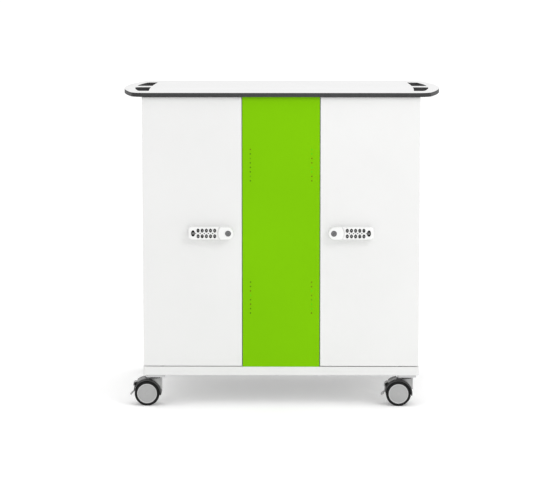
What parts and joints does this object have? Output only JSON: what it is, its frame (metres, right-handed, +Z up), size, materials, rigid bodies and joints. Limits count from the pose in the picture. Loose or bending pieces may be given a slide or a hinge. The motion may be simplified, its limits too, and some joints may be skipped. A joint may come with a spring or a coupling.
{
  "type": "tablet charging cart",
  "caption": "Wheeled tablet charging cabinet with keypad-locked doors, divided bays, indicator lights and a worktop with hand slots.",
  "frame": {"origin": "on the floor, under the middle of the cart's outline in plan", "axes": "+Z up, the doors face -Y, +X to the right of someone who faces the doors"},
  "size_m": [0.9638, 0.658, 0.94],
  "materials": {
    "solid_core": "black solid-core board, satin cut edge",
    "white_laminate": "white satin laminate",
    "white_board": "board faced with satin white laminate",
    "green_board": "board faced with bright green laminate",
    "light_pipe": "clear coloured light pipes",
    "circuit_board": "circuit boards",
    "charger_case": "grey moulded cases",
    "rack": "moulded grey plastic",
    "black_plastic": "moulded black plastic",
    "hinge_steel": "zinc-plated steel, painted white at the knuckles",
    "lock_white": "white enamelled casting",
    "lock_steel": "steel",
    "key_black": "black push keys",
    "castor_grey": "moulded grey plastic",
    "castor_black": "moulded black plastic",
    "castor_wheel": "black tread moulded on a grey core",
    "castor_steel": "zinc-plated steel"
  },
  "bodies": {
    "root": {"worktop_board": "solid_core", "worktop_laminate": "white_laminate", "side_panels": "white_board", "centre_partitions": "white_board", "tier_shelves": "white_board", "base_board": "white_board", "back_panel": "white_board", "mains_inlet": "black_plastic", "centre_front_panel": "green_board", "charge_indicators": "light_pipe", "indicator_boards": "circuit_board", "charging_units": "charger_case", "tablet_racks": "rack", "door_glides": "black_plastic", "carcass_hinge_leaves": "hinge_steel", "castor_plates": "castor_steel"},
    "left_door": {"left_door": "white_board", "left_door_hinge_leaf": "hinge_steel", "left_lock_housing": "lock_white"},
    "left_lever": {"left_turning_lever": "lock_white", "left_locking_cam": "lock_steel"},
    "left_cylinder": {"left_key_cylinder": "lock_steel"},
    "left_button_1": {"left_key_1": "key_black"},
    "left_button_2": {"left_key_2": "key_black"},
    "left_button_3": {"left_key_3": "key_black"},
    "left_button_4": {"left_key_4": "key_black"},
    "left_button_5": {"left_key_5": "key_black"},
    "left_button_6": {"left_key_6": "key_black"},
    "left_button_7": {"left_key_7": "key_black"},
    "left_button_8": {"left_key_8": "key_black"},
    "left_button_9": {"left_key_9": "key_black"},
    "left_button_0": {"left_key_0": "key_black"},
    "left_button_clear": {"left_key_clear": "key_black"},
    "right_door": {"right_door": "white_board", "right_door_hinge_leaf": "hinge_steel", "right_lock_housing": "lock_white"},
    "right_lever": {"right_turning_lever": "lock_white", "right_locking_cam": "lock_steel"},
    "right_cylinder": {"right_key_cylinder": "lock_steel"},
    "right_button_1": {"right_key_1": "key_black"},
    "right_button_2": {"right_key_2": "key_black"},
    "right_button_3": {"right_key_3": "key_black"},
    "right_button_4": {"right_key_4": "key_black"},
    "right_button_5": {"right_key_5": "key_black"},
    "right_button_6": {"right_key_6": "key_black"},
    "right_button_7": {"right_key_7": "key_black"},
    "right_button_8": {"right_key_8": "key_black"},
    "right_button_9": {"right_key_9": "key_black"},
    "right_button_0": {"right_key_0": "key_black"},
    "right_button_clear": {"right_key_clear": "key_black"},
    "swivel_front_left": {"castor_frame_front_left": "castor_black"},
    "wheels_front_left": {"castor_wheels_front_left": "castor_wheel"},
    "brake_front_left": {"brake_pedal_front_left": "castor_grey"},
    "swivel_front_right": {"castor_frame_front_right": "castor_black"},
    "wheels_front_right": {"castor_wheels_front_right": "castor_wheel"},
    "brake_front_right": {"brake_pedal_front_right": "castor_grey"},
    "swivel_rear_left": {"castor_frame_rear_left": "castor_black"},
    "wheels_rear_left": {"castor_wheels_rear_left": "castor_wheel"},
    "swivel_rear_right": {"castor_frame_rear_right": "castor_black"},
    "wheels_rear_right": {"castor_wheels_rear_right": "castor_wheel"}
  },
  "joints": [
    {"name": "left_door_hinge", "type": "hinge", "parent": "root", "child": "left_door", "pos_m": [-0.4078, -0.2813, 0.525], "axis": [0, 0, -1], "range_deg": [0, 180]},
    {"name": "left_lever_turn", "type": "hinge", "parent": "left_door", "child": "left_lever", "pos_m": [-0.1566, -0.3073, 0.525], "axis": [0, 1, 0], "range_deg": [0, 90]},
    {"name": "left_key_turn", "type": "hinge", "parent": "left_lever", "child": "left_cylinder", "pos_m": [-0.1566, -0.328, 0.525], "axis": [0, 1, 0], "range_deg": [0, 90]},
    {"name": "left_press_1", "type": "slide", "parent": "left_door", "child": "left_button_1", "axis": [0, 1, 0], "range_m": [0, 0.001], "stiffness_N_per_m": 300},
    {"name": "left_press_2", "type": "slide", "parent": "left_door", "child": "left_button_2", "axis": [0, 1, 0], "range_m": [0, 0.001], "stiffness_N_per_m": 300},
    {"name": "left_press_3", "type": "slide", "parent": "left_door", "child": "left_button_3", "axis": [0, 1, 0], "range_m": [0, 0.001], "stiffness_N_per_m": 300},
    {"name": "left_press_4", "type": "slide", "parent": "left_door", "child": "left_button_4", "axis": [0, 1, 0], "range_m": [0, 0.001], "stiffness_N_per_m": 300},
    {"name": "left_press_5", "type": "slide", "parent": "left_door", "child": "left_button_5", "axis": [0, 1, 0], "range_m": [0, 0.001], "stiffness_N_per_m": 300},
    {"name": "left_press_6", "type": "slide", "parent": "left_door", "child": "left_button_6", "axis": [0, 1, 0], "range_m": [0, 0.001], "stiffness_N_per_m": 300},
    {"name": "left_press_7", "type": "slide", "parent": "left_door", "child": "left_button_7", "axis": [0, 1, 0], "range_m": [0, 0.001], "stiffness_N_per_m": 300},
    {"name": "left_press_8", "type": "slide", "parent": "left_door", "child": "left_button_8", "axis": [0, 1, 0], "range_m": [0, 0.001], "stiffness_N_per_m": 300},
    {"name": "left_press_9", "type": "slide", "parent": "left_door", "child": "left_button_9", "axis": [0, 1, 0], "range_m": [0, 0.001], "stiffness_N_per_m": 300},
    {"name": "left_press_0", "type": "slide", "parent": "left_door", "child": "left_button_0", "axis": [0, 1, 0], "range_m": [0, 0.001], "stiffness_N_per_m": 300},
    {"name": "left_press_clear", "type": "slide", "parent": "left_door", "child": "left_button_clear", "axis": [0, 1, 0], "range_m": [0, 0.001], "stiffness_N_per_m": 300},
    {"name": "right_door_hinge", "type": "hinge", "parent": "root", "child": "right_door", "pos_m": [0.4078, -0.2813, 0.525], "axis": [0, 0, 1], "range_deg": [0, 180]},
    {"name": "right_lever_turn", "type": "hinge", "parent": "right_door", "child": "right_lever", "pos_m": [0.1566, -0.3073, 0.525], "axis": [0, -1, 0], "range_deg": [0, 90]},
    {"name": "right_key_turn", "type": "hinge", "parent": "right_lever", "child": "right_cylinder", "pos_m": [0.1566, -0.328, 0.525], "axis": [0, -1, 0], "range_deg": [0, 90]},
    {"name": "right_press_1", "type": "slide", "parent": "right_door", "child": "right_button_1", "axis": [0, 1, 0], "range_m": [0, 0.001], "stiffness_N_per_m": 300},
    {"name": "right_press_2", "type": "slide", "parent": "right_door", "child": "right_button_2", "axis": [0, 1, 0], "range_m": [0, 0.001], "stiffness_N_per_m": 300},
    {"name": "right_press_3", "type": "slide", "parent": "right_door", "child": "right_button_3", "axis": [0, 1, 0], "range_m": [0, 0.001], "stiffness_N_per_m": 300},
    {"name": "right_press_4", "type": "slide", "parent": "right_door", "child": "right_button_4", "axis": [0, 1, 0], "range_m": [0, 0.001], "stiffness_N_per_m": 300},
    {"name": "right_press_5", "type": "slide", "parent": "right_door", "child": "right_button_5", "axis": [0, 1, 0], "range_m": [0, 0.001], "stiffness_N_per_m": 300},
    {"name": "right_press_6", "type": "slide", "parent": "right_door", "child": "right_button_6", "axis": [0, 1, 0], "range_m": [0, 0.001], "stiffness_N_per_m": 300},
    {"name": "right_press_7", "type": "slide", "parent": "right_door", "child": "right_button_7", "axis": [0, 1, 0], "range_m": [0, 0.001], "stiffness_N_per_m": 300},
    {"name": "right_press_8", "type": "slide", "parent": "right_door", "child": "right_button_8", "axis": [0, 1, 0], "range_m": [0, 0.001], "stiffness_N_per_m": 300},
    {"name": "right_press_9", "type": "slide", "parent": "right_door", "child": "right_button_9", "axis": [0, 1, 0], "range_m": [0, 0.001], "stiffness_N_per_m": 300},
    {"name": "right_press_0", "type": "slide", "parent": "right_door", "child": "right_button_0", "axis": [0, 1, 0], "range_m": [0, 0.001], "stiffness_N_per_m": 300},
    {"name": "right_press_clear", "type": "slide", "parent": "right_door", "child": "right_button_clear", "axis": [0, 1, 0], "range_m": [0, 0.001], "stiffness_N_per_m": 300},
    {"name": "castor_swivel_front_left", "type": "hinge", "parent": "root", "child": "swivel_front_left", "pos_m": [-0.377, -0.266, 0.0807], "axis": [0, 0, 1], "continuous": true},
    {"name": "wheel_spin_front_left", "type": "hinge", "parent": "swivel_front_left", "child": "wheels_front_left", "pos_m": [-0.402, -0.266, 0.0375], "axis": [0, 1, 0], "continuous": true},
    {"name": "brake_press_front_left", "type": "hinge", "parent": "swivel_front_left", "child": "brake_front_left", "pos_m": [-0.43545, -0.266, 0.06006], "axis": [0, -1, 0], "range_deg": [0, 10]},
    {"name": "castor_swivel_front_right", "type": "hinge", "parent": "root", "child": "swivel_front_right", "pos_m": [0.377, -0.266, 0.0807], "axis": [0, 0, 1], "continuous": true},
    {"name": "wheel_spin_front_right", "type": "hinge", "parent": "swivel_front_right", "child": "wheels_front_right", "pos_m": [0.352, -0.266, 0.0375], "axis": [0, 1, 0], "continuous": true},
    {"name": "brake_press_front_right", "type": "hinge", "parent": "swivel_front_right", "child": "brake_front_right", "pos_m": [0.31855, -0.266, 0.06006], "axis": [0, -1, 0], "range_deg": [0, 10]},
    {"name": "castor_swivel_rear_left", "type": "hinge", "parent": "root", "child": "swivel_rear_left", "pos_m": [-0.377, 0.284, 0.0807], "axis": [0, 0, 1], "continuous": true},
    {"name": "wheel_spin_rear_left", "type": "hinge", "parent": "swivel_rear_left", "child": "wheels_rear_left", "pos_m": [-0.402, 0.284, 0.0375], "axis": [0, 1, 0], "continuous": true},
    {"name": "castor_swivel_rear_right", "type": "hinge", "parent": "root", "child": "swivel_rear_right", "pos_m": [0.377, 0.284, 0.0807], "axis": [0, 0, 1], "continuous": true},
    {"name": "wheel_spin_rear_right", "type": "hinge", "parent": "swivel_rear_right", "child": "wheels_rear_right", "pos_m": [0.352, 0.284, 0.0375], "axis": [0, 1, 0], "continuous": true}
  ]
}
